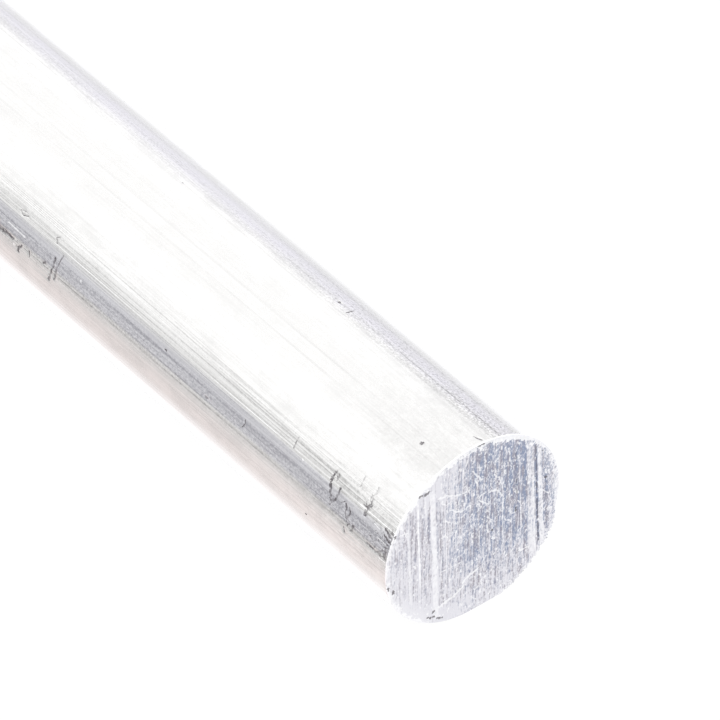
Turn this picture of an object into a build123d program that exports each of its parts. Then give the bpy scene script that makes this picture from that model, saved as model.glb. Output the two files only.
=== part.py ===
from build123d import *

import os

# Round bar of aluminium alloy, cut to length and lying on its side.
#
# One solid piece of extruded stock: a plain round section, the same from end to end, with both
# ends sawn square and their sharp rims broken by a small bevel. Units are millimetres.
#
# Frame: +X runs along the bar, +Z is up, and the origin is on the floor under the middle of the
# bar, so the bar rests on the floor along the line y = 0, z = 0.

# Driving dimensions
BAR_DIAMETER = 25.0  # across the extruded section
BAR_LENGTH = 300.0  # between the two sawn ends
RIM_BREAK = 0.25  # bevel around each sawn end, measured on the face and on the barrel alike


def bar_axis_height():
    """Height of the bar's centre line over the floor that it lies on."""
    return BAR_DIAMETER / 2


def round_section():
    """The extruded section, a disc standing where the bar's far end (-X) is sawn off."""
    far_end = Plane.YZ.offset(-BAR_LENGTH / 2)
    lifted = far_end * Pos(0, bar_axis_height(), 0)
    return lifted * Circle(BAR_DIAMETER / 2)


def round_bar():
    """The whole bar: the section drawn out to the cut length, with both rims broken."""
    bar = extrude(round_section(), amount=BAR_LENGTH)
    rims = bar.edges().filter_by(GeomType.CIRCLE)
    return chamfer(rims, RIM_BREAK)


def main():
    """Write the bar as a STEP file named after its node."""
    os.makedirs("parts", exist_ok=True)
    bar = round_bar()
    bar.label = "round_bar"
    export_step(bar, "parts/round_bar.step")


main()
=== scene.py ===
"""Round bar of mill-finish aluminium, sawn to length, in a pale studio.

The bar is one piece of stock. A plain cylinder gets its rims broken, its two ends cut into the strips
that the saw left, and fine mesh where the barrel is nicked. Then it is pressed into the relief of die
lines, saw lines, burrs and nicks, and of the torn lip on the near end. The same patterns drive its
finish, so what is carved is also what is shaded. The finish also holds bands of painted shade round
the barrel and on the sawn ends, and painted glints and highlights.

Frame: metres, +X along the bar, +Z up, and the floor at z = 0 under the bar.
"""

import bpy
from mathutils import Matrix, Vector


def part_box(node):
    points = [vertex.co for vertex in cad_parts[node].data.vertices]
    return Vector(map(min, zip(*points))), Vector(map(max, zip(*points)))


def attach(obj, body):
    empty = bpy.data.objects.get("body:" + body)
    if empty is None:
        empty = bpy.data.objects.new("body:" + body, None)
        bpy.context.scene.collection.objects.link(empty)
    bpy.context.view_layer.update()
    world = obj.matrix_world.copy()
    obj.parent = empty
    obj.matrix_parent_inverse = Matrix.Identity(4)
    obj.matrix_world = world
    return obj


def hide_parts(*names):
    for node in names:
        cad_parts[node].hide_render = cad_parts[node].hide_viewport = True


bl_info = {
    "name": "Sawn round bar",
    "version": (1, 0, 0),
    "blender": (4, 5, 0),
    "location": "3D Viewport > Sidebar > Round bar",
    "description": "Models a sawn length of round aluminium bar and the pale studio that it lies in",
    "category": "Object",
}

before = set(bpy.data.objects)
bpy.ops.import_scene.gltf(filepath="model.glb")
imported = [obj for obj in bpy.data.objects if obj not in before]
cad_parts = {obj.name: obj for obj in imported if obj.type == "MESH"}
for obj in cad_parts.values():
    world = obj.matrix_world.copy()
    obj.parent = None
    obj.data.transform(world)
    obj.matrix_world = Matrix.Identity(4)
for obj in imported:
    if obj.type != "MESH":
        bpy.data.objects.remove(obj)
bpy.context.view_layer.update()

import math

import bmesh
import bpy
from bpy.props import FloatProperty, FloatVectorProperty, IntProperty, PointerProperty
from bpy.types import Operator, Panel, PropertyGroup
from mathutils import Vector

MM = 0.001
BAR_NODE = "round_bar"
LOW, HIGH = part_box(BAR_NODE)
CENTRE = (LOW + HIGH) / 2
NEAR_END = HIGH.x

LIP_ROOT = 0.3 * MM  # how far behind the near end the torn lip starts
LIP_TOWARDS = (0.62, -0.78, 0.0)  # the way that the lip points
NICK_PITCH = 0.25 * MM  # length of the mesh in a nick
NICK_ROOM = 0.3  # mm of fine mesh left round a nick
RIM_ROOM = 0.05 * MM  # bare strip behind the rim
SHARP = math.radians(40.0)  # edges sharper than this stay sharp

# Places on the sawn ends, in mm to the right of the centre line.
LEFT_LEDGE = -5.45
RIGHT_LEDGE = 7.9
SAW_GROOVE = 9.25

# Bands round the barrel: the turns from the top towards -Y, in degrees, at which each starts, is
# full, starts to fade and ends.
LINED_BAND = (49, 55, 64, 70)
# The shadowed band is painted shade along the barrel's upper +Y side.
SHADOWED_BAND = (-36, -30, -18, -8)
TOP_BAND = (-11, 10, 24, 44)

# Bands of painted shade round the barrel, darker or lighter skin in place of light and shade:
# each band, the two distances back (mm) between which its shade changes, and its shade at the
# first and at the second.
PAINTED_SHADE_BANDS = (
    ((-41, -37, -33, -29), (2, 14), (0.05, 0.25)),
    ((-32, -29, -25, -20), (20, 55), (0, -0.1)),
    ((-22, -18, -14, -4), (60, 14), (0.04, 0.15)),
    ((-14, -8, -2, 6), (18, 3), (0, 0.08)),
    (TOP_BAND, (24, 1), (0.25, 0.33)),
    ((57, 60, 64, 68), (40, 66), (0, 0.14)),
    ((78, 84, 100, 108), (8, 44), (0, 0.18)),
)

# Bands in which dark specks crowd, told in the same way.
SPECK_BANDS = (
    ((56, 66, 77, 86), (14, 0.5), (0, 0.17)),
    ((57, 63, 78, 82), (1.9, 0.4), (0, 0.1)),
    ((72, 77, 82, 87), (60, 72), (0, 0.14)),
)

# Nicks and scratches on the barrel. Each is a width (mm) and a run of points, given as how far they
# lie from the near end (mm) and how far round the bar from its top towards -Y (degrees).
NICKS = (
    (0.3, (11.2, 56.5), (11.4, 61), (11.3, 64.4), (10.95, 68.2), (10.6, 71.6)),
    (0.22, (10.75, 72), (10.3, 73.4), (10.5, 75.4)),
    (0.27, (10.75, 57.6), (10.65, 61)),
    (0.24, (9.75, 63.2), (9.7, 66.5), (9.9, 70.6), (10.4, 72.2)),
    (0.15, (7.4, 49), (7.3, 55)),
    (0.16, (5.05, 49.4), (4.9, 52.4), (5.15, 54.6), (4.85, 57.2), (4.95, 59.4)),
    (0.13, (5.3, 54), (5.25, 57), (4.75, 58.8)),
    (0.4, (4.85, 59.6), (5.1, 62.4), (5.1, 65)),
    (0.18, (5, 61.4), (5.8, 61.6)),
    (0.14, (5.55, 59.2), (5.5, 60.6)),
    (0.2, (7.5, 68.6), (7.15, 71), (7.45, 73.6), (7.45, 76.2)),
    (0.2, (8.2, 68), (7.85, 70.2), (8, 72.6), (7.6, 75)),
    (0.14, (8.5, 67.6), (8.9, 69.4)),
    (0.16, (6.9, 76.6), (7.2, 78.4)),
    (0.3, (6.2, 76.3), (6.4, 79.2)),
    (0.16, (7.7, 80.6), (7.5, 84)),
    (0.16, (18.1, 56.8), (18.15, 62.8)),
    (0.34, (4.7, 17), (4.6, 17.4)),
    (0.14, (26.3, 69), (26.1, 71.4), (26.4, 74)),
    (0.22, (33.2, 75), (32.8, 75.2)),
    (0.2, (14.4, 94), (14.2, 94.2)),
    (0.2, (41.2, 68.8), (41, 68.9)),
    (0.26, (28.7, -17.5), (28.5, -17.3)),
    (0.14, (26.6, -14.5), (26.6, -20.3)),
    (0.2, (55.8, -10.7), (55.6, -10.5)),
    (0.16, (60.7, 66), (61, 71), (61.2, 76)),
    (0.3, (61.2, 76), (61.35, 82.4)),
    (0.24, (61.75, 70.2), (61.85, 76), (62.15, 81)),
    (0.34, (62.15, 81), (62.35, 85.8)),
    (0.26, (63.2, 77.2), (63.6, 78.3)),
    (0.42, (69.4, 79.3), (71, 79.3), (74, 79.2)),
    (0.2, (70.2, 78.6), (74, 78.2)),
    (0.3, (67.7, 79.4), (68.3, 82), (68.2, 84.2)),
    (0.18, (66.3, 78.6), (66.1, 81.6)),
    (0.1, (62.2, 58.4), (62.7, 60), (62.3, 62.6)),
    (0.1, (68.4, 60), (69.4, 61.2), (68.8, 63), (68, 61.6)),
    (0.26, (3.6, 78.8), (2.1, 79.4), (1.7, 78.4), (1.1, 75.8)),
    (0.34, (0.75, 74.3), (0.65, 78.5)),
    (0.26, (1.6, 64.2), (0.3, 66.7)),
    (0.24, (1.5, 67.6), (0.3, 69.2)),
    (0.11, (1.4, -5), (0.5, -6.9)),
)

# Rubbed places that shine, told like the nicks.
RUBS = (
    (0.16, (70.6, 72.4), (67.4, 72.9)), (0.2, (69.15, 82.2), (69.05, 82.5)),
    (0.18, (56.9, 70.5), (56.8, 71.1)), (0.18, (16.3, 64.6), (16.2, 65)),
    (0.1, (12.6, 70), (12.4, 70.3)), (0.1, (3.4, 65.8), (2.2, 66.4)),
    (0.12, (2.4, 70.9), (0.8, 71.4)), (0.14, (1.4, 81.2), (0.4, 81)),
)

# Lengthwise lines that the die drew on the barrel: turn from the top towards -Y at the near end
# (degrees), width (degrees), shade from -1 for bright metal to 1 for dark, and the reach back (mm)
# of a line that stops short.
DIE_LINES = (
    (-28.6, 1.6, 0.16), (-26.6, 1, -0.2), (-18.4, 0.9, 0.3, 24), (14, 1.5, 0.1),
    (21.5, 1.2, 0.12), (53.2, 0.7, 0.1), (54.7, 0.7, -0.45), (56.5, 0.7, 0.12),
    (57.8, 0.8, 0.34), (59, 0.5, -0.2), (59.9, 0.5, 0.34, 26), (61.2, 0.6, 0.3, 26),
    (62.6, 0.7, -0.75), (63.8, 0.5, 0.3), (64.9, 0.7, 0.2), (66.3, 0.8, 0.08),
    (69.9, 1.3, 0.25), (72.7, 0.8, 0.28), (75.1, 0.7, 0.2), (79, 1.1, 0.42),
    (83.4, 0.6, 0.16), (86.2, 0.5, 0.14), (88.3, 1, 0.2), (91.8, 0.7, 0.14),
    (113, 1.2, 0.4), (141, 0.9, 0.5), (-171, 1.3, 0.4), (-133, 0.8, 0.5),
    (-96, 1.1, 0.45), (-62, 0.9, 0.35),
)

# Upright marks on the sawn ends, seen face on (mm from the centre line): how far to the right,
# width, lowest and highest reach, and shade, from -1 for bright metal to 1 for dark.
SAW_MARKS = (
    (-9.06, 0.34, -6.6, 5.6, -0.5), (-8.31, 0.8, -7, 7.5, 0.32),
    (-7.6, 0.24, -4.5, 8.6, -1.1), (-6.96, 0.5, -6, 7.5, 0.35),
    (-6.51, 0.2, 5.6, 8.6, -0.7), (-6.11, 0.26, 1, 8, 0.5),
    (-5.45, 0.75, -10.6, 8.9, -0.75), (-4.41, 0.3, -9, 5, 0.55),
    (-3.76, 0.16, -8, 3.8, -0.4), (-3.7, 1.8, -1.4, 0.6, 0.22),
    (-2.36, 0.15, -1.4, 4.2, -0.5), (-1.16, 0.5, 1, 8.6, 0.4),
    (-0.36, 0.3, 4.2, 8.8, 0.45), (0.94, 0.16, -3.5, 7.8, -0.4),
    (1.6, 2, 6.2, 10.4, 0.28), (2.44, 0.5, 7.6, 10.8, 0.55),
    (3.09, 0.2, 7, 10.6, 0.7), (4.39, 0.18, -4.6, 5.8, -0.7),
    (5.34, 0.7, 2.2, 8.4, 0.35), (6.14, 0.9, 1.4, 8.2, 0.65),
    (6.6, 0.45, 0.8, 8.6, 0.9), (6.99, 0.2, -4.2, 1.6, -0.5),
    (6.9, 0.3, 2, 7.6, -0.25), (7.59, 0.8, 2.6, 9, 0.4),
    (8.5, 0.9, -8.8, 9.2, -0.55), (8.89, 0.2, -9, 6, -0.4),
    (9.34, 0.26, -7.8, 7.8, 1.9), (9.84, 0.55, -8.4, 7.2, -0.75),
    (10.1, 0.3, 1, 7.6, 0.4), (10.55, 0.3, -6.4, 2.8, 0.4),
    (10.62, 0.8, -6, 6.8, 0.75),
)

# Bright scratches across the near end: a width, and a run of (right, up) points, in mm.
SCRATCHES = (
    (0.34, (-4.37, -9.28), (-3.17, -8.98), (-2.07, -8.68), (-1.27, -8.18)),
    (0.22, (-1.37, -7.68), (-0.57, -7.08), (0.23, -6.88), (1.23, -6.48)),
    (0.18, (-4.87, 7.32), (-3.77, 7.12), (-2.37, 6.42), (-0.97, 6.02)),
    (0.15, (-4.47, 6.42), (-3.77, 5.72), (-2.87, 5.82)),
    (0.12, (-4.47, -4.08), (-1.27, -4.28)),
    (0.18, (-3.17, 4.72), (-2.27, 3.92), (-1.47, 3.52), (-0.57, 3.82), (-0.17, 3.32)),
    (0.22, (-3.87, 3.42), (-3.37, 2.82)),
    (0.21, (0.93, 4.12), (1.23, 4.42), (1.83, 4.42)),
    (0.18, (2.33, 4.17), (3.43, 4.02), (3.83, 3.42), (4.23, 2.62)),
    (0.15, (0.88, 3.82), (1.53, 3.12), (2.33, 2.42)),
    (0.17, (-0.07, 8.72), (0.63, 7.72), (1.23, 6.72)),
    (0.15, (0.33, 7.42), (0.73, 6.22), (0.63, 5.22)),
    (0.17, (1.63, 10.02), (1.93, 9.02), (1.73, 8.22)),
    (0.18, (3.13, 6.42), (3.63, 5.72), (4.03, 5.02), (3.83, 4.62)),
    (0.2, (4.63, 6.22), (4.53, 5.42)),
    (0.17, (5.13, 9.22), (5.33, 8.02), (5.23, 7.42)),
    (0.22, (6.43, 7.42), (6.63, 6.92)),
    (0.26, (6.13, 2.22), (6.63, 1.62)),
    (0.18, (5.33, -0.38), (5.73, -1.08), (6.43, -0.98)),
    (0.17, (4.53, -1.18), (5.23, -1.68), (5.73, -2.18)),
    (0.22, (6.63, -7.38), (8.23, -7.58)),
    (0.31, (3.03, -3.18), (3.23, -3.38)),
    (0.15, (-10.77, 5.02), (-9.37, 4.82)),
    (0.14, (-10.47, 6.42), (-9.77, 5.42), (-9.47, 4.22)),
    (0.22, (-8.37, -0.78), (-8.17, -1.18)),
    (0.31, (10.43, 2.82), (10.53, 2.52)),
    (0.26, (10.88, 2.72), (10.93, 2.42)),
    (0.31, (10.83, -3.18), (10.88, -3.48)),
    (0.26, (10.43, -5.98), (10.73, -6.48)),
    (0.15, (10.13, 0.22), (10.53, -0.38), (10.93, -0.78)),
)

# Dark chips in the near end and its rim, told in the same way.
CHIPS = (
    (0.28, (-7.6, 9.25), (-6.5, 9.1), (-6.2, 9.35)),
    (0.26, (0.7, 12.05), (1.6, 12)), (0.34, (-11.3, -3), (-11.3, -3.15)),
    (0.22, (-12.05, -2), (-12, -2.3)), (0.3, (-6.3, -9.9), (-6, -10.1)),
    (0.24, (-5.6, -9.6), (-5.3, -9.5)), (0.28, (-5.6, -10.2), (-5.4, -10.3)),
    (0.2, (-5, -10.8), (-4.3, -11.1)), (0.28, (-11.1, 5.1), (-11.05, 5.3)),
    (0.26, (-11.8, 5.2), (-11.7, 5.4)), (0.24, (-10.45, 7.6), (-10.35, 7.8)),
    (0.22, (-9.7, 8.4), (-9.6, 8.6)), (0.18, (9.9, 6.2), (10.1, 6.1)),
    (0.24, (10.4, 1.9), (10.6, 1.8)), (0.28, (6.35, -0.5), (6.4, -0.9)),
    (0.26, (2.85, -1.8), (3, -2)),
)


def distance(name, description, default, **limits):
    """A length setting, in metres."""
    return FloatProperty(
        name=name, description=description, default=default, subtype="DISTANCE", unit="LENGTH",
        **limits)


def depth(name, description, default):
    """A length setting that can't be less than nothing."""
    return distance(name, description, default, min=0.0)


def angle(name, description, default):
    """An angle setting, in radians."""
    return FloatProperty(
        name=name, description=description, default=default, subtype="ANGLE", unit="ROTATION")


def strength(name, description, default):
    """A setting for how strong a light is."""
    return FloatProperty(name=name, description=description, default=default, min=0.0)


def tint(name, description, default, highest=1.0):
    """A colour setting."""
    return FloatVectorProperty(
        name=name, description=description, default=default, subtype="COLOR", min=0.0, max=highest)


class BarSizes(PropertyGroup):
    """Sizes of the bar and of the relief on it."""

    length: distance("Length", "Between the two sawn ends", HIGH.x - LOW.x, min=20 * MM)
    diameter: distance("Diameter", "Across the barrel", HIGH.z - LOW.z, min=3 * MM)
    sides: IntProperty(
        name="Sides", description="Faces round the barrel", default=640, min=48, max=720)
    rings: IntProperty(
        name="Rings", description="Cuts along the barrel between the two ends", default=39,
        min=1, max=200)
    rim_break: depth("Rim break", "Bevel around each sawn end", 0.12 * MM)
    burr_width: distance(
        "Burr width", "Breadth of the burr inside the rim", 0.2 * MM, min=0.02 * MM)
    lip_reach: depth(
        "Lip reach", "How far the torn lip low on the near end stands out", 0.95 * MM)
    saw_recess: depth(
        "Saw recess", "How far the sawn face lies below the burr on its rim", 0.06 * MM)
    saw_pitch: distance(
        "Saw pitch", "Breadth of one strip of the sawn face", 0.14 * MM, min=0.05 * MM)
    saw_depth: depth("Saw line depth", "Height of the saw lines on the ends", 0.04 * MM)
    ledge_depth: depth("Ledge depth", "Height of the ledges where the blade wandered", 0.08 * MM)
    die_depth: depth("Die line depth", "Height of the lengthwise lines on the barrel", 0.02 * MM)
    nick_depth: depth("Nick depth", "Depth of the nicks and scratches on the barrel", 0.08 * MM)


class BarColours(PropertyGroup):
    """Colours of the bar's bare metal."""

    skin: tint("Skin", "Bare metal of the barrel", (0.653, 0.65, 0.645))
    # Skin shade is also the colour of the painted shade bands round the barrel.
    skin_shade: tint("Skin shade", "Metal in the deeper die lines", (0.3, 0.297, 0.295))
    # Tint of the painted shade band low on the -Y flank.
    painted_band_tint: tint("Haze", "Dull metal along the -Y flank", (0.42, 0.42, 0.52))
    sawn: tint("Sawn metal", "Torn metal of the sawn ends", (0.76, 0.755, 0.8))
    # Sawn shade also colours the painted shade across the sawn ends.
    sawn_shade: tint("Sawn shade", "Metal in the deeper saw lines", (0.275, 0.318, 0.44))
    sawn_warm: tint(
        "Sawn warm shade", "Greyer metal in patches of the sawn ends", (0.335, 0.312, 0.36))
    # Bright metal also colours the painted glints on the barrel's edges, the flakes and the burr.
    bright: tint("Bright metal", "Freshly rubbed or scratched metal", (0.97, 0.97, 0.98))
    soil: tint("Soil", "Dirt held in the nicks", (0.12, 0.11, 0.12))


class StudioSettings(PropertyGroup):
    """The pale floor, the soft light and the camera."""

    view_azimuth: angle("View azimuth", "Turn of the camera round the bar", math.radians(51.5))
    view_elevation: angle("View elevation", "Height of the camera as an angle", math.radians(42.0))
    camera_distance: distance(
        "Camera distance", "From the camera to the point that it looks at", 0.845, min=0.1)
    aim_back: distance(
        "Aim back", "How far back from the near end the camera looks", 29.91 * MM)
    aim_side: distance(
        "Aim side", "How far beside the bar's centre line the camera looks", 7.71 * MM)
    lens: FloatProperty(
        name="Lens", description="Focal length", default=370.0, min=10.0, unit="CAMERA")
    floor_glow: strength("Floor glow", "Light that the lit table gives off", 0.95)
    floor_far: strength("Far glow", "Extra light of the table away from the bar", 0.12)
    floor_tone: strength("Floor tone", "How pale the table's own surface is", 0.06)
    warm_strip: tint(
        "Warm strip", "Extra light of the strip along the bar's -Y flank", (0.33, 0.21, 0.19))
    sky_low: strength("Low light", "Strength of the light tent at the horizon", 1.33)
    sky_high: strength("High light", "Strength of the light tent's walls", 1.62)
    sky_roof: strength("Roof light", "Extra strength of the light tent's roof", 0.3)
    sky_cool: tint(
        "Cool light", "Tint of the light low on the +Y side", (0.87, 0.86, 0.94), highest=2.0)


class Graph:
    """Adds and joins nodes, alike for finishes, light and relief."""

    def __init__(self, tree):
        self.tree = tree

    def node(self, kind, **settings):
        made = self.tree.nodes.new(kind)
        for name, value in settings.items():
            setattr(made, name, value)
        return made

    def join(self, value, socket):
        """Links a value to a socket, or sets it there. A colour is made opaque."""
        if isinstance(value, bpy.types.NodeSocket):
            self.tree.links.new(value, socket)
        elif socket.type == "RGBA":
            socket.default_value = (*value, 1)
        else:
            socket.default_value = value

    def feed(self, node, values):
        for value, socket in zip(values, node.inputs):
            self.join(value, socket)
        return node

    def maths(self, operation, *values, clamp=False):
        made = self.node("ShaderNodeMath", operation=operation, use_clamp=clamp)
        return self.feed(made, values).outputs[0]

    def minus(self, first, second):
        return self.maths("SUBTRACT", first, second)

    def most(self, first, second):
        return self.maths("MAXIMUM", first, second)

    def least(self, first, second):
        return self.maths("MINIMUM", first, second)

    def gap(self, value, middle):
        """How far a value lies from the middle, either way."""
        return self.maths("ABSOLUTE", self.minus(value, middle))

    def sum(self, first, *others):
        for value in others:
            first = self.maths("ADD", first, value)
        return first

    def product(self, first, *others):
        for value in others:
            first = self.maths("MULTIPLY", first, value)
        return first

    def vector(self, operation, *values):
        made = self.feed(self.node("ShaderNodeVectorMath", operation=operation), values)
        scalar = operation in {"LENGTH", "DOT_PRODUCT"}
        return made.outputs["Value" if scalar else "Vector"]

    def scaled(self, direction, size):
        """A vector made longer or shorter."""
        made = self.node("ShaderNodeVectorMath", operation="SCALE")
        self.join(direction, made.inputs["Vector"])
        self.join(size, made.inputs["Scale"])
        return made.outputs["Vector"]

    def stretched(self, place, factors):
        return self.vector("MULTIPLY", place, factors)

    def parts(self, place):
        split = self.node("ShaderNodeSeparateXYZ")
        self.join(place, split.inputs[0])
        return split.outputs

    def triple(self, x, y, z):
        return self.feed(self.node("ShaderNodeCombineXYZ"), (x, y, z)).outputs[0]

    def noise(self, place, grain, detail=2, rough=0.5):
        """Noise from 0 to 1, with so many grains to the metre, all ways or by axis."""
        place = self.stretched(place, grain if isinstance(grain, tuple) else (grain, grain, grain))
        made = self.node("ShaderNodeTexNoise")
        self.join(place, made.inputs["Vector"])
        made.inputs["Scale"].default_value = 1
        made.inputs["Detail"].default_value = detail
        made.inputs["Roughness"].default_value = rough
        return made.outputs[0]

    def step(self, value, start, end, low=0, high=1):
        """A smooth step from low to high as value goes from start to end."""
        made = self.node("ShaderNodeMapRange", interpolation_type="SMOOTHSTEP")
        return self.feed(made, (value, start, end, low, high)).outputs[0]

    def between(self, share, first, second):
        """A number between first and second."""
        made = self.node("ShaderNodeMix", data_type="FLOAT")
        self.join(share, made.inputs[0])
        self.join(first, made.inputs[2])
        self.join(second, made.inputs[3])
        return made.outputs[0]

    def blend(self, share, first, second):
        """A colour between first and second."""
        made = self.node("ShaderNodeMix", data_type="RGBA")
        self.join(share, made.inputs[0])
        self.join(first, made.inputs[6])
        self.join(second, made.inputs[7])
        return made.outputs[2]


# Patterns on the bar, shared by its relief and its finish


def turn_and_back(g, place):
    """How far a point lies round the barrel (radians from the top towards -Y) and back (mm)."""
    x, y, z = g.parts(place)
    back = g.product(g.minus(NEAR_END, x), 1 / MM)
    height = g.minus(z, CENTRE.z)
    return g.maths("ARCTAN2", g.product(y, -1), height), back


def unrolled(g, place, sizes):
    """The barrel laid flat, in mm: distance from the near end, and arc from the top towards -Y."""
    turn, back = turn_and_back(g, place)
    return g.triple(back, g.product(turn, sizes.diameter / 2 / MM), 0)


def die_grain(g, place):
    """Fine lengthwise grain, 0 to 1."""
    return g.noise(place, (25, 3600, 3600), detail=2, rough=0.6)


def die_marks(g, place):
    """The die's separate lines, -1 to 1. They wind a little round the bar, and come and go."""
    turn, back = turn_and_back(g, place)
    turn = g.sum(turn, g.product(back, -0.00022), centred_noise(g, place, (18, 0, 0), 0.01))
    total = 0
    for middle, width, shade, *stops in DIE_LINES:
        gap = g.gap(turn, math.radians(middle))
        half = math.radians(width) / 2
        mark = g.step(gap, half * 1.3, half * 0.4, 0, shade)
        for reach in stops:
            mark = g.product(mark, g.step(back, reach, reach * 0.6))
        total = g.sum(total, mark)
    coming = g.noise(place, (90, 900, 900), detail=2)
    return g.product(total, g.step(coming, 0.3, 0.62, 0.3, 1), g.step(back, 75, 30, 0.6, 1))


def stroke_gap(g, flat, start, end, width):
    """How far a point lies from the line between start and end, in half-widths of the stroke."""
    along = end - start
    offset = g.vector("SUBTRACT", flat, tuple(start))
    reach = g.vector("DOT_PRODUCT", offset, tuple(along))
    share = g.least(g.product(reach, 1 / along.length_squared), 1)
    share = g.most(share, 0)
    gap = g.vector("LENGTH", g.vector("SUBTRACT", offset, g.scaled(tuple(along), share)))
    return g.maths("MULTIPLY", gap, 2 / width)


def strokes_mask(g, flat, strokes, raggedness, edge=1.3):
    """Where any stroke runs, 0 to 1. A stroke is a width and a run of flat points."""
    nearest = None
    for width, *points in strokes:
        for start, end in zip(points, points[1:]):
            gap = stroke_gap(g, flat, start, end, width)
            nearest = gap if nearest is None else g.least(nearest, gap)
    return g.step(g.sum(nearest, raggedness), edge, edge / 2)


def centred_noise(g, place, grain, reach, detail=1):
    """Noise from -reach to +reach, or so."""
    noise = g.noise(place, grain, detail=detail)
    return g.product(g.minus(noise, 0.5), 2 * reach)


def flat_strokes(strokes, sizes):
    """Strokes on the barrel laid flat, in mm."""

    def laid(back, turn):
        return Vector((back, math.radians(turn) * sizes.diameter / 2 / MM, 0))

    return [(width, *(laid(*point) for point in points)) for width, *points in strokes]


def nick_mask(g, place, sizes):
    """Where the barrel is nicked, 0 to 1."""
    ragged = g.sum(
        centred_noise(g, place, 4200, 1.8),
        centred_noise(g, place, 1400, 1))
    return strokes_mask(g, unrolled(g, place, sizes), flat_strokes(NICKS, sizes), ragged, edge=1.5)


def end_flat(g, place):
    """The sawn ends seen face on, in mm from the centre line, and +1 or -1 for which end."""
    x, y, z = g.parts(place)
    side = g.maths("SIGN", x)
    across = g.product(y, side, 1 / MM)
    up = g.product(g.minus(z, CENTRE.z), 1 / MM)
    return side, across, up


def near_end_strokes(g, place, strokes, raggedness, shake=0):
    """Where strokes run across the near end, 0 to 1. Shaken ones wander by so many mm."""
    side, across, up = end_flat(g, place)
    if shake:
        across = g.sum(across, centred_noise(g, place, (0, 1900, 1900), shake, detail=2))
        up = g.sum(up, centred_noise(g, place, (0, 1500, 2300), shake, detail=2))
    flat = [(width, *(Vector((*point, 0)) for point in points)) for width, *points in strokes]
    mask = strokes_mask(g, g.triple(across, up, 0), flat, raggedness)
    return g.product(mask, g.most(side, 0))


def saw_lines(g, place):
    """Fine lines that the saw left down each end, 0 to 1."""
    return g.noise(place, (30, 3600, 130), detail=3, rough=0.65)


def saw_marks(g, place):
    """The saw's broader marks, a little off upright: -1 for bright metal to 1 for dark."""
    _, across, up = end_flat(g, place)
    across = g.sum(across, g.product(up, 0.037), centred_noise(g, place, (0, 500, 220), 0.12))
    total = 0
    for middle, width, lowest, highest, shade in SAW_MARKS:
        gap = g.gap(across, middle)
        mark = g.step(gap, width * 0.64, width * 0.36, 0, shade)
        low_end = g.step(up, lowest - 0.8, lowest + 0.8)
        high_end = g.step(up, highest + 0.8, highest - 0.8)
        total = g.sum(total, g.product(mark, low_end, high_end))
    beads = g.noise(place, (0, 2000, 1500), detail=2)
    return g.product(total, g.step(beads, 0.32, 0.6, 0.45, 1.2))


# The bar's mesh


def pick(obj, part, test):
    """Selects the faces or edges that pass the test, and says whether any did."""
    bpy.ops.mesh.select_all(action="DESELECT")
    mesh = bmesh.from_edit_mesh(obj.data)
    found = [item for item in getattr(mesh, part) if test(item)]
    for item in found:
        item.select_set(True)
    bmesh.update_edit_mesh(obj.data)
    return bool(found)


def add_blank(sizes):
    """A plain cylinder where the bar lies, with its place in its mesh."""
    bpy.ops.object.select_all(action="DESELECT")
    bpy.ops.mesh.primitive_cylinder_add(
        vertices=sizes.sides, radius=sizes.diameter / 2, depth=sizes.length,
        end_fill_type="NGON", location=CENTRE, rotation=(0, math.pi / 2, 0))
    bar = bpy.context.active_object
    bar.name = "sawn_round_bar"
    bar.data.name = "sawn_round_bar"
    bpy.ops.object.transform_apply(location=True, rotation=True, scale=True)
    return bar


def is_end(face):
    return abs(face.normal.x) > 0.99


def is_lengthwise(edge):
    return abs(edge.verts[0].co.x - edge.verts[1].co.x) > 1 * MM


def break_rims(bar, sizes):
    """Bevels both rims, and insets the two ends by the burr's width."""
    bpy.ops.mesh.select_mode(type="EDGE")
    pick(bar, "edges", lambda edge: not is_lengthwise(edge))
    bpy.ops.mesh.bevel(offset=sizes.rim_break, segments=2, affect="EDGES")
    bpy.ops.mesh.select_mode(type="FACE")
    pick(bar, "faces", is_end)
    bpy.ops.mesh.inset(thickness=sizes.burr_width, use_individual=True)


def cut_sawn_ends(bar, sizes):
    """Cuts both ends into upright strips, and those across into short lengths."""
    reach = sizes.diameter / 2 - sizes.rim_break - sizes.burr_width

    def is_sawn(face):
        middle = face.calc_center_bounds() - CENTRE
        return is_end(face) and math.hypot(middle.y, middle.z) < reach - 0.001 * MM

    for axis, pitch in (((0, 1, 0), sizes.saw_pitch), ((0, 0, 1), 5 * sizes.saw_pitch)):
        count = int(2 * reach / pitch)
        for number in range(1, count):
            point = CENTRE + Vector(axis) * (2 * reach * number / count - reach)
            pick(bar, "faces", is_sawn)
            bpy.ops.mesh.bisect(plane_co=point, plane_no=axis)


def cut_rings(bar, sizes):
    """Cuts the barrel across into even lengths, and once close behind the near end's rim."""
    bpy.ops.mesh.select_mode(type="EDGE")
    pick(bar, "edges", is_lengthwise)
    bpy.ops.mesh.subdivide(number_cuts=sizes.rings)
    bpy.ops.mesh.select_mode(type="FACE")
    pick(bar, "faces", lambda face: not is_end(face))
    bpy.ops.mesh.bisect(plane_co=(NEAR_END - LIP_ROOT, 0, 0), plane_no=(1, 0, 0))


def nick_boxes(sizes):
    """For each nick, its span back from the near end (metres) and round the bar (radians)."""
    boxes = []
    for width, *points in NICKS:
        backs = [back * MM for back, turn in points]
        turns = [math.radians(turn) for back, turn in points]
        room = (width + NICK_ROOM) * MM
        swing = room / (sizes.diameter / 2)
        boxes.append((min(backs) - room, max(backs) + room, min(turns) - swing, max(turns) + swing))
    return boxes


def turn_of(point):
    """How far round the bar a point lies, from the top towards -Y."""
    return math.atan2(-(point.y - CENTRE.y), point.z - CENTRE.z)


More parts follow.
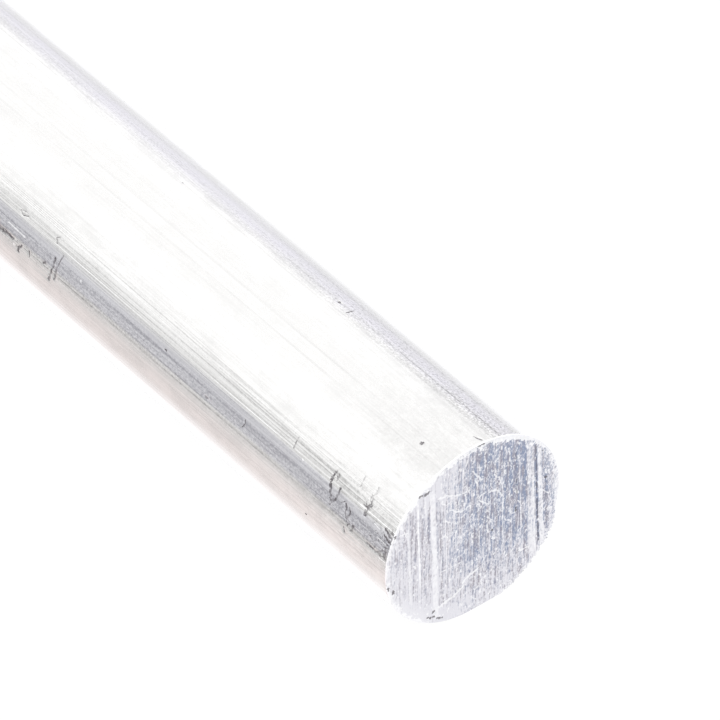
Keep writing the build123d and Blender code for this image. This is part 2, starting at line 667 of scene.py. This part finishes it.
def cut_part_ring(bar, x, spans, longest):
    """Cuts the barrel across at x, only within the given spans round it."""

    def is_crossed(face):
        if abs(face.verts[0].co.x - x) > longest:
            return False
        xs = [vert.co.x for vert in face.verts]
        if not min(xs) < x < max(xs):
            return False
        turn = turn_of(face.calc_center_bounds())
        return any(low < turn < high for low, high in spans)

    if pick(bar, "faces", is_crossed):
        bpy.ops.mesh.bisect(plane_co=(x, 0, 0), plane_no=(1, 0, 0))


def cut_round_nicks(bar, sizes):
    """Cuts the barrel finely across at its nicks, so that they have mesh to sink into."""
    boxes = nick_boxes(sizes)
    longest = 1.01 * sizes.length / (sizes.rings + 1)
    end = CENTRE.x + sizes.length / 2
    bpy.ops.mesh.select_mode(type="FACE")
    deepest = max(box[1] for box in boxes)
    for number in range(1, int(deepest / NICK_PITCH)):
        back = number * NICK_PITCH
        spans = [box[2:] for box in boxes if box[0] < back < box[1]]
        if spans and back > sizes.rim_break + RIM_ROOM:
            cut_part_ring(bar, end - back, spans, longest)


def ledge_height(g, place, sizes):
    """Height lost where the blade wandered: a basin between two ledges, and a groove beside it."""
    across = end_flat(g, place)[1]
    left = g.step(across, LEFT_LEDGE - 0.5, LEFT_LEDGE)
    right = g.step(across, RIGHT_LEDGE + 0.7, RIGHT_LEDGE)
    groove = g.step(g.gap(across, SAW_GROOVE), 0.25, 0.08)
    return g.product(g.most(g.product(left, right), groove), sizes.ledge_depth)


def burr_wear(g, across, up):
    """Where the burr is rubbed away, low on the right of each sawn end, 0 to 1."""
    return g.product(g.step(up, -0.5, -5), g.step(across, -8, -5))


def lip_share(g, across, up):
    """Where the blade dragged a lip out over the rim, low on the right, 0 to 1."""
    away = g.vector("NORMALIZE", g.triple(across, up, 0))
    return g.step(g.vector("DOT_PRODUCT", away, LIP_TOWARDS), 0.79, 0.92)


def room_in_square(g, outward, sizes):
    """How far the rim could stand out and stay inside the bar's square outline."""
    _, y, z = g.parts(outward)
    largest = g.most(g.maths("ABSOLUTE", y), g.maths("ABSOLUTE", z))
    half = sizes.diameter / 2 - sizes.die_depth
    return g.most(g.minus(g.maths("DIVIDE", half, largest), sizes.diameter / 2), 0)


def lip_relief(g, place, outward, radius, sizes):
    """How far the torn lip stands out past the near end's rim."""
    side, across, up = end_flat(g, place)
    torn = g.noise(place, (0, 2300, 2300), detail=3, rough=0.75)
    reach = g.product(
        lip_share(g, across, up), g.step(torn, 0.36, 0.64, 0.3, 1), g.most(side, 0),
        sizes.lip_reach)
    rim = sizes.diameter / 2 - sizes.rim_break
    at_rim = g.product(
        g.step(radius, rim - 0.1 * MM, rim - 0.02 * MM),
        g.step(g.parts(place)[0], NEAR_END - 0.2 * MM, NEAR_END - 0.14 * MM))
    return g.scaled(outward, g.product(g.least(reach, room_in_square(g, outward, sizes)), at_rim))


def end_relief(g, place, radius, sizes):
    """How far each point of a sawn end sinks below the crest of its burr, along the bar."""
    side, across, up = end_flat(g, place)
    lines = g.product(g.minus(1, saw_lines(g, place)), sizes.saw_depth)
    sawn = g.sum(lines, ledge_height(g, place, sizes), sizes.saw_recess)
    ragged = g.noise(place, 1500, detail=3, rough=0.7)
    crest = g.step(ragged, 0.62, 0.38, 0, sizes.saw_recess)
    rim = sizes.diameter / 2 - sizes.rim_break
    inner = g.step(burr_wear(g, across, up), 0, 1, rim - sizes.burr_width, rim - 1.2 * MM)
    on_burr = g.step(radius, inner, rim)
    recess = g.between(on_burr, sawn, crest)
    return g.triple(g.product(recess, side, -1), 0, 0)


def barrel_relief(g, place, outward, sizes):
    """How far each point of the barrel moves in towards the centre line."""
    grain = g.product(g.minus(1, die_grain(g, place)), sizes.die_depth)
    nicks = g.product(nick_mask(g, place, sizes), sizes.nick_depth)
    return g.scaled(outward, g.product(g.sum(grain, nicks), -1))


def relief_tree(sizes):
    """A geometry tree for the die lines, saw lines, ledges, burrs, nicks and torn lip."""
    tree = bpy.data.node_groups.new("bar_relief", "GeometryNodeTree")
    for way in ("INPUT", "OUTPUT"):
        tree.interface.new_socket("Geometry", in_out=way, socket_type="NodeSocketGeometry")
    g = Graph(tree)
    place = g.node("GeometryNodeInputPosition").outputs[0]
    across = g.stretched(g.vector("SUBTRACT", place, tuple(CENTRE)), (0, 1, 1))
    radius = g.vector("LENGTH", across)
    x = g.parts(place)[0]
    from_middle = g.gap(x, CENTRE.x)
    half = sizes.length / 2
    on_end = g.step(from_middle, half - 0.02 * MM, half - 0.01 * MM)
    outward = g.vector("NORMALIZE", across)
    moves = g.node("ShaderNodeMix", data_type="VECTOR")
    g.join(on_end, moves.inputs[0])
    g.join(barrel_relief(g, place, outward, sizes), moves.inputs[4])
    g.join(end_relief(g, place, radius, sizes), moves.inputs[5])
    offset = g.vector("ADD", moves.outputs[1], lip_relief(g, place, outward, radius, sizes))
    moved = g.node("GeometryNodeSetPosition")
    g.join(g.node("NodeGroupInput").outputs[0], moved.inputs["Geometry"])
    g.join(offset, moved.inputs["Offset"])
    g.join(moved.outputs[0], g.node("NodeGroupOutput").inputs[0])
    return tree


def press_relief(bar, sizes):
    """Moves the mesh into its relief, and shades it smooth except at sharp edges."""
    relief = bar.modifiers.new("Relief", "NODES")
    relief.node_group = relief_tree(sizes)
    bpy.ops.object.modifier_apply(modifier=relief.name)
    bpy.ops.object.shade_smooth_by_angle(angle=SHARP)


# Finishes


def new_finish(name):
    """A new material with its graph, its metal shader and the place on the bar."""
    material = bpy.data.materials.new(name)
    material.use_nodes = True
    g = Graph(material.node_tree)
    shader = material.node_tree.nodes["Principled BSDF"]
    shader.inputs["Metallic"].default_value = 1
    place = g.node("ShaderNodeTexCoord").outputs["Object"]
    return material, g, shader, place


def dent(g, shader, height, tall):
    """Bumps a shader by a height pattern that stands so many metres tall."""
    bump = g.node("ShaderNodeBump")
    bump.inputs["Strength"].default_value = 1
    bump.inputs["Distance"].default_value = tall
    g.join(height, bump.inputs["Height"])
    g.join(bump.outputs[0], shader.inputs["Normal"])


def turn_step(g, turn, start, end):
    """A smooth step from 0 to 1 between two turns in degrees."""
    return g.step(turn, math.radians(start), math.radians(end))


def band(g, turn, start, full, fading, end):
    """A band round the barrel between two turns in degrees, 0 to 1, with soft edges."""
    return g.product(turn_step(g, turn, start, full), turn_step(g, turn, end, fading))


def banded(g, turn, back, bands):
    """The summed shade of a list of bands that change along the bar."""
    total = 0
    for turns, backs, shades in bands:
        total = g.sum(total, g.product(band(g, turn, *turns), g.step(back, *backs, *shades)))
    return total


def streaked_turn(g, place, reach):
    """The turn round the barrel, shaken so that a band's edges come out streaky."""
    return g.sum(turn_and_back(g, place)[0], centred_noise(g, place, (14, 1500, 1500), reach))


def scuffs(g, place):
    """Where handling has worn the skin duller near the near end, from -1 to 1."""
    turn, back = turn_and_back(g, place)
    patches = g.noise(place, (900, 1300, 1300), detail=4, rough=0.75)
    flank = band(g, turn, 54, 64, 80, 96)
    near = g.step(back, 24, 4, 0.12, 1)
    return g.product(g.minus(patches, 0.46), 2, near, g.sum(g.product(flank, 0.8), 0.3))


def specks(g, place):
    """Dark specks, thickest low on the -Y flank near the near end, 0 to 1."""
    turn, back = turn_and_back(g, place)
    grains = g.noise(place, (2600, 2900, 2900), detail=3, rough=0.7)
    start = g.minus(0.74, banded(g, turn, back, SPECK_BANDS))
    return g.step(grains, start, g.sum(start, 0.07))


def painted_flank_shade(g, streaky, back):
    """A band of painted shade along the -Y flank, a little lower towards the far end, 0 to 1."""
    sinking = g.sum(streaky, g.product(back, -0.0006))
    return g.product(turn_step(g, streaky, 65, 71), turn_step(g, sinking, 83, 74.5))


def skin_dullness_and_shade(g, place):
    """Duller skin and painted shade bands: about 0 for bare metal, up to 1, and below 0 for bright
    lines.
    """
    turn, back = turn_and_back(g, place)
    streaky = streaked_turn(g, place, 0.07)
    # The flank band and the shadowed band are painted shade round the barrel.
    shaded_flank = painted_flank_shade(g, streaky, back)
    lined = band(g, turn, *LINED_BAND)
    shadowed = band(g, turn, *SHADOWED_BAND)
    top = band(g, turn, *TOP_BAND)
    marked = g.most(lined, g.most(shaded_flank, shadowed))
    flecked = g.sum(
        g.product(shaded_flank, 2.9), g.product(lined, 0.8),
        g.product(shadowed, g.step(back, 50, 20, 1.1, 2.4)), 0.2)
    grain = g.minus(0.5, die_grain(g, place))
    hair = g.minus(0.5, g.noise(place, (60, 7000, 7000), detail=1))
    smudge = g.minus(g.noise(place, (260, 420, 420), detail=4, rough=0.65), 0.5)
    fleck = g.minus(g.noise(place, (3300, 4200, 4200), detail=3, rough=0.7), 0.5)
    return g.sum(
        g.product(grain, g.sum(g.product(marked, 0.5), g.step(top, 0, 1, 0.4, 0.08))),
        g.product(hair, g.sum(g.product(lined, 1.6), g.product(shaded_flank, 1.7), 0.15)),
        g.product(smudge, g.step(top, 0, 1, 0.5, 0.1)),
        g.product(fleck, flecked, g.step(back, 15, 3, 1, 1.45)),
        g.product(scuffs(g, place), 0.7),
        g.product(shaded_flank, 0.36),
        g.product(band(g, streaky, -26, -20, -16, -7), g.step(back, 22, 1, 0, 0.16)),
        banded(g, turn, back, PAINTED_SHADE_BANDS),
        die_marks(g, place))


def painted_edge_light(g, turn):
    """Painted shade where the barrel's top turns away from the eye, and painted glints where its
    sides do.
    """
    facing = g.node("ShaderNodeLayerWeight").outputs["Facing"]
    dark = g.product(band(g, turn, -12, -4, 45, 60), g.step(facing, 0.5, 0.88, 0, 0.7))
    upper = g.product(band(g, turn, -68, -58, -39.6, -25.8), g.step(facing, 0.4, 0.55))
    lower = g.product(turn_step(g, turn, 60, 90), g.step(facing, 0.6, 0.78))
    return dark, g.most(upper, lower)


def rubbed_spots(g, place, sizes):
    """Small rubbed places on the barrel, 0 to 1."""
    ragged = centred_noise(g, place, 3000, 1.2)
    return strokes_mask(g, unrolled(g, place, sizes), flat_strokes(RUBS, sizes), ragged)


def skin_dirt(g, place, turn, sizes):
    """Soil in the nicks, fainter in those high on the -Y flank, and dark specks, 0 to 1."""
    faint = band(g, turn, 44, 48, 54, 61)
    nicks = g.product(nick_mask(g, place, sizes), g.step(faint, 0, 1, 1, 0.4))
    worn = g.noise(place, 1100, detail=2)
    in_nicks = g.product(nicks, g.step(worn, 0.35, 0.6, 0.5, 0.95))
    return g.most(in_nicks, g.product(specks(g, place), 0.75))


def skin_finish(sizes, colours):
    """The extruded barrel: lengthwise grain and lines, faint smudges, soil in the nicks, and painted
    shade and glints.
    """
    material, g, shader, place = new_finish("mill_skin")
    bright = colours.bright
    turn = turn_and_back(g, place)[0]
    edge_shade, edge_glint = painted_edge_light(g, turn)
    # This dullness also carries the painted shade of the bands and of the edges.
    dull_and_shade = g.sum(skin_dullness_and_shade(g, place), edge_shade, 0.1)
    colour = g.blend(g.most(dull_and_shade, 0), colours.skin, colours.skin_shade)
    colour = g.blend(g.step(dull_and_shade, -0.1, -0.9, 0, 0.7), colour, bright)
    # Painted shade: a bluish tint over the dark band low on the -Y flank.
    painted_band_tint = g.product(band(g, streaked_turn(g, place, 0.05), 64, 67, 75, 80), 0.3)
    colour = g.blend(painted_band_tint, colour, colours.painted_band_tint)
    # Painted glints along the barrel's sides where they turn away.
    colour = g.blend(edge_glint, colour, bright)
    colour = g.blend(g.product(rubbed_spots(g, place, sizes), 0.6), colour, bright)
    dirt = skin_dirt(g, place, turn, sizes)
    g.join(g.blend(dirt, colour, colours.soil), shader.inputs["Base Color"])
    smudge = g.noise(place, (260, 420, 420), detail=4, rough=0.65)
    rough = g.sum(g.step(smudge, 0.35, 0.7, 0.2, 0.32), g.product(dirt, 0.3))
    g.join(rough, shader.inputs["Roughness"])
    hair = g.noise(place, (60, 9000, 9000), detail=1)
    dent(g, shader, g.sum(hair, g.product(smudge, 0.3)), 0.006 * MM)
    return material


def painted_end_shade(g, across, up):
    """Painted shade on the sawn ends, darker from the left and foot to the upper right, about 0 to 1.
    """
    from_centre = g.vector("LENGTH", g.triple(across, up, 0))
    rising = g.step(across, -5.5, 2, 0.2, 0.79)
    falling = g.product(g.step(across, 8, 10.5), g.step(up, 5, 2.5, 0.24, 0.42))
    height = g.step(up, -11.5, 1, 0.28, 1.05)
    dark = g.product(g.minus(rising, falling), height)
    darker_left_rim = g.product(
        g.step(up, -1, 3), g.step(across, -6.5, -8.5, 0, 0.1),
        g.step(from_centre, 11.6, 10.6))
    # A painted glare high up, and painted light at the left and at the foot.
    glare = g.product(
        g.step(up, 4.5, 9), g.step(across, 2, -3.2, -0.05, 0.4),
        g.step(across, -8, -5.5, 0.6, 1))
    pale = g.product(g.step(up, 2, -6), g.step(across, -3, -8, 0, 0.07))
    foot = g.product(
        g.step(from_centre, 9.8, 11), g.step(up, -4, -8),
        g.step(across, 4.5, 0, 0, 0.37))
    return g.minus(g.sum(dark, darker_left_rim), g.sum(glare, pale, foot))


def flake_glints(g, place, across, up):
    """Painted glints on flakes of torn metal, thickest in the upper middle, 0 to 1."""
    flake = g.noise(place, (2400, 3400, 2000), detail=1)
    crowded = g.product(g.step(up, 1, 5), g.step(g.gap(across, 1.5), 5, 3), 0.02)
    return g.step(g.sum(flake, crowded), 0.62, 0.69)


def torn_threads(g, place, across, up):
    """Crooked threads of torn metal in the middle of the sawn ends, 0 to 1."""
    field = g.noise(place, (300, 1100, 520), detail=3, rough=0.7)
    thread = g.step(g.gap(field, 0.5), 0.03, 0.008)
    broken = g.step(g.noise(place, 1900, detail=1), 0.44, 0.54)
    from_middle = g.vector("LENGTH", g.triple(g.sum(across, -2), g.sum(up, -3.5), 0))
    return g.product(thread, broken, g.step(from_middle, 8, 4))


def warm_patches(g, place, across, up):
    """Where the sawn metal is greyer: at the left, at the foot and in streaks, 0 to 1."""
    streaks = g.noise(place, (600, 1900, 330), detail=3, rough=0.6)
    place_share = g.sum(g.step(across, -2, -6, 0, 0.6), g.step(up, -4, -10, 0, 0.4))
    return g.maths("ADD", g.step(streaks, 0.4, 0.62, -0.1, 0.75), place_share, clamp=True)


def burr_and_highlight(g, place, across, up, radius, sizes):
    """The bright ragged burr of the sawn ends, partly a painted highlight, broadest at the upper
    right, 0 to 1.
    """
    inner = sizes.diameter / 2 - sizes.rim_break - sizes.burr_width
    ragged = g.sum(
        centred_noise(g, place, 1500, 1 * MM, detail=2),
        centred_noise(g, place, 4000, 0.5 * MM, detail=2))
    upper = g.step(up, 4, 10)
    crest = g.step(g.sum(radius, ragged, g.product(upper, 0.42 * MM)), inner - 0.14 * MM, inner)
    crest = g.product(crest, g.step(upper, 0, 1, 0.85, 1))
    soft = g.product(g.step(radius, inner - 1.8 * MM, inner), g.step(upper, 0, 1, 0.3, 0.06))
    worn = g.step(burr_wear(g, across, up), 0, 1, 1, 0.12)
    edge = g.product(g.most(crest, soft), worn)
    lip = g.product(g.step(radius, 12.2 * MM, 13.1 * MM, 0, 0.5), lip_share(g, across, up))
    return g.most(edge, lip)


def sawn_dullness_and_shade(g, place, across, up, hair, grit, marks):
    """How dark the sawn metal is, 0 to 1: painted shade, and its lines, grit, patches and marks."""
    patchy = g.noise(place, (900, 1500, 700), detail=3, rough=0.6)
    torn = g.sum(g.step(across, -6, 2, 0.6, 1), g.step(across, 9.6, 10.1, 0, 0.6))
    dull_and_shade = g.sum(
        painted_end_shade(g, across, up),
        g.product(g.minus(0.5, saw_lines(g, place)), 1.2),
        g.product(g.minus(0.5, hair), 2.4),
        g.product(g.minus(0.5, grit), 3.8, torn),
        g.product(g.minus(0.5, patchy), 1.2, torn),
        g.product(marks, 0.55))
    return g.maths("ADD", dull_and_shade, 0, clamp=True)


def sawn_brightness(g, place, across, up, ragged, marks, sizes):
    """Where the sawn metal is bright, 0 to 1: flakes with painted glints, threads, bright marks,
    scratches and the burr, partly a painted highlight.
    """
    radius = g.product(g.vector("LENGTH", g.triple(across, up, 0)), MM)
    torn = g.most(flake_glints(g, place, across, up), torn_threads(g, place, across, up))
    bright = g.most(g.product(torn, 0.8), g.product(marks, -0.75))
    scratched = near_end_strokes(g, place, SCRATCHES, ragged, shake=0.2)
    bright = g.most(bright, g.product(scratched, 0.8))
    return g.most(bright, burr_and_highlight(g, place, across, up, radius, sizes))


def sawn_finish(sizes, colours):
    """The sawn ends: painted shade, upright saw marks, torn specks with painted glints, threads,
    scratches and a bright burr, partly a painted highlight.
    """
    material, g, shader, place = new_finish("sawn_end")
    _, across, up = end_flat(g, place)
    hair = g.noise(place, (30, 6500, 330), detail=2)
    grit = g.noise(place, (3500, 4500, 2700), detail=3, rough=0.65)
    ragged = centred_noise(g, place, 3300, 2.2)
    marks = saw_marks(g, place)
    dull_and_shade = sawn_dullness_and_shade(g, place, across, up, hair, grit, marks)
    warm = warm_patches(g, place, across, up)
    shade = g.blend(warm, colours.sawn_shade, colours.sawn_warm)
    colour = g.blend(dull_and_shade, colours.sawn, shade)
    bright = sawn_brightness(g, place, across, up, ragged, marks, sizes)
    colour = g.blend(g.product(bright, 0.85), colour, colours.bright)
    chips = near_end_strokes(g, place, CHIPS, ragged)
    # The chips and the darkest saw marks are darkened towards the soil colour.
    darkest_marks = g.most(g.product(chips, 0.8), g.step(marks, 0.9, 2, 0, 0.6))
    colour = g.blend(darkest_marks, colour, colours.soil)
    g.join(colour, shader.inputs["Base Color"])
    g.join(g.step(grit, 0.3, 0.7, 0.36, 0.52), shader.inputs["Roughness"])
    dent(g, shader, g.sum(hair, g.product(grit, 0.7), g.product(bright, 0.6)), 0.02 * MM)
    return material


def dress_bar(bar, sizes, colours):
    """Gives the barrel and the two sawn ends their finishes."""
    bar.data.materials.append(skin_finish(sizes, colours))
    bar.data.materials.append(sawn_finish(sizes, colours))
    reach = sizes.length / 2 - sizes.ledge_depth - sizes.saw_recess - sizes.saw_depth
    for face in bar.data.polygons:
        at_end = all(abs(bar.data.vertices[i].co.x - CENTRE.x) > reach for i in face.vertices)
        face.material_index = 1 if at_end else 0


# The studio


def lay_floor(studio):
    """A pale table, lit from below, with a warmer strip along the bar's -Y flank."""
    bpy.ops.object.select_all(action="DESELECT")
    bpy.ops.mesh.primitive_plane_add(size=30, location=(0, 0, 0))
    floor = bpy.context.active_object
    floor.name = "lit_table"
    material = bpy.data.materials.new("lit_table")
    material.use_nodes = True
    g = Graph(material.node_tree)
    y = g.parts(g.node("ShaderNodeTexCoord").outputs["Object"])[1]
    strip = g.product(g.step(y, -0.01, -0.02), g.step(y, -0.038, -0.018))
    far = g.sum(
        g.step(y, -0.08, -0.2, 1, 1 + studio.floor_far),
        g.step(y, 0.05, 0.12, 0, -studio.floor_far / 4))
    shader = material.node_tree.nodes["Principled BSDF"]
    g.join([studio.floor_tone] * 3, shader.inputs["Base Color"])
    shader.inputs["Roughness"].default_value = 0.9
    shader.inputs["Specular IOR Level"].default_value = 0
    glow = [studio.floor_glow] * 3
    warm = [studio.floor_glow * (1 + part) for part in studio.warm_strip]
    g.join(g.blend(strip, glow, warm), shader.inputs["Emission Color"])
    g.join(far, shader.inputs["Emission Strength"])
    floor.data.materials.append(material)


def hang_sky(studio):
    """A white light tent, brightest overhead, and a little blue low on the +Y side."""
    world = bpy.data.worlds.new("light_tent")
    bpy.context.scene.world = world
    world.use_nodes = True
    g = Graph(world.node_tree)
    _, y, up = g.parts(g.node("ShaderNodeTexCoord").outputs["Generated"])
    wall = g.step(up, 0, 0.4, studio.sky_low, studio.sky_high)
    roof = g.step(up, 0.4, 0.8, 0, studio.sky_roof)
    cool = g.product(g.step(y, 0.2, 0.8), g.step(up, 0.38, 0.22))
    colour = g.blend(cool, (1, 1, 1), studio.sky_cool)
    backdrop = world.node_tree.nodes["Background"]
    g.join(colour, backdrop.inputs["Color"])
    g.join(g.sum(wall, roof), backdrop.inputs["Strength"])


def place_camera(studio):
    """A long lens that looks down on the near end."""
    azimuth = studio.view_azimuth
    rise = studio.view_elevation
    back = Vector((
        math.sin(azimuth) * math.cos(rise), -math.cos(azimuth) * math.cos(rise), math.sin(rise)))
    aim = Vector((NEAR_END - studio.aim_back, CENTRE.y + studio.aim_side, CENTRE.z))
    bpy.ops.object.camera_add(location=aim + back * studio.camera_distance)
    camera = bpy.context.active_object
    camera.name = "camera"
    camera.rotation_mode = "QUATERNION"
    camera.rotation_quaternion = (-back).to_track_quat("-Z", "Y")
    camera.data.lens = studio.lens
    camera.data.clip_start = 0.01
    camera.data.clip_end = 60
    bpy.context.scene.camera = camera


class ROUNDBAR_OT_bar(Operator):
    """Model the bar, with its sawn ends, die lines and nicks"""

    bl_idname = "roundbar.bar"
    bl_label = "Round bar"

    def execute(self, context):
        sizes = context.scene.round_bar_sizes
        bar = add_blank(sizes)
        bpy.ops.object.mode_set(mode="EDIT")
        break_rims(bar, sizes)
        cut_sawn_ends(bar, sizes)
        cut_rings(bar, sizes)
        cut_round_nicks(bar, sizes)
        bpy.ops.object.mode_set(mode="OBJECT")
        press_relief(bar, sizes)
        dress_bar(bar, sizes, context.scene.round_bar_colours)
        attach(bar, "root")
        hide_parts(BAR_NODE)
        return {"FINISHED"}


class ROUNDBAR_OT_studio(Operator):
    """Set up the floor, the light and the camera"""

    bl_idname = "roundbar.studio"
    bl_label = "Studio"

    def execute(self, context):
        studio = context.scene.round_bar_studio
        lay_floor(studio)
        hang_sky(studio)
        place_camera(studio)
        context.scene.view_settings.view_transform = "Standard"
        return {"FINISHED"}


class ROUNDBAR_PT_panel(Panel):
    """Sizes, colours and buttons for the bar and its studio"""

    bl_idname = "ROUNDBAR_PT_panel"
    bl_label = "Round bar"
    bl_space_type = "VIEW_3D"
    bl_region_type = "UI"
    bl_category = "Round bar"

    def draw(self, context):
        layout = self.layout
        scene = context.scene
        for group in (scene.round_bar_sizes, scene.round_bar_colours, scene.round_bar_studio):
            box = layout.box()
            for name in group.bl_rna.properties.keys():
                if name not in {"rna_type", "name"}:
                    box.prop(group, name)
        layout.operator(ROUNDBAR_OT_bar.bl_idname)
        layout.operator(ROUNDBAR_OT_studio.bl_idname)


CLASSES = (
    BarSizes, BarColours, StudioSettings, ROUNDBAR_OT_bar, ROUNDBAR_OT_studio, ROUNDBAR_PT_panel)


def register():
    for item in CLASSES:
        bpy.utils.register_class(item)
    bpy.types.Scene.round_bar_sizes = PointerProperty(type=BarSizes)
    bpy.types.Scene.round_bar_colours = PointerProperty(type=BarColours)
    bpy.types.Scene.round_bar_studio = PointerProperty(type=StudioSettings)


def unregister():
    del bpy.types.Scene.round_bar_studio
    del bpy.types.Scene.round_bar_colours
    del bpy.types.Scene.round_bar_sizes
    for item in reversed(CLASSES):
        bpy.utils.unregister_class(item)


def main():
    register()
    bpy.ops.roundbar.bar()
    bpy.ops.roundbar.studio()


if __name__ == "__main__":
    main()
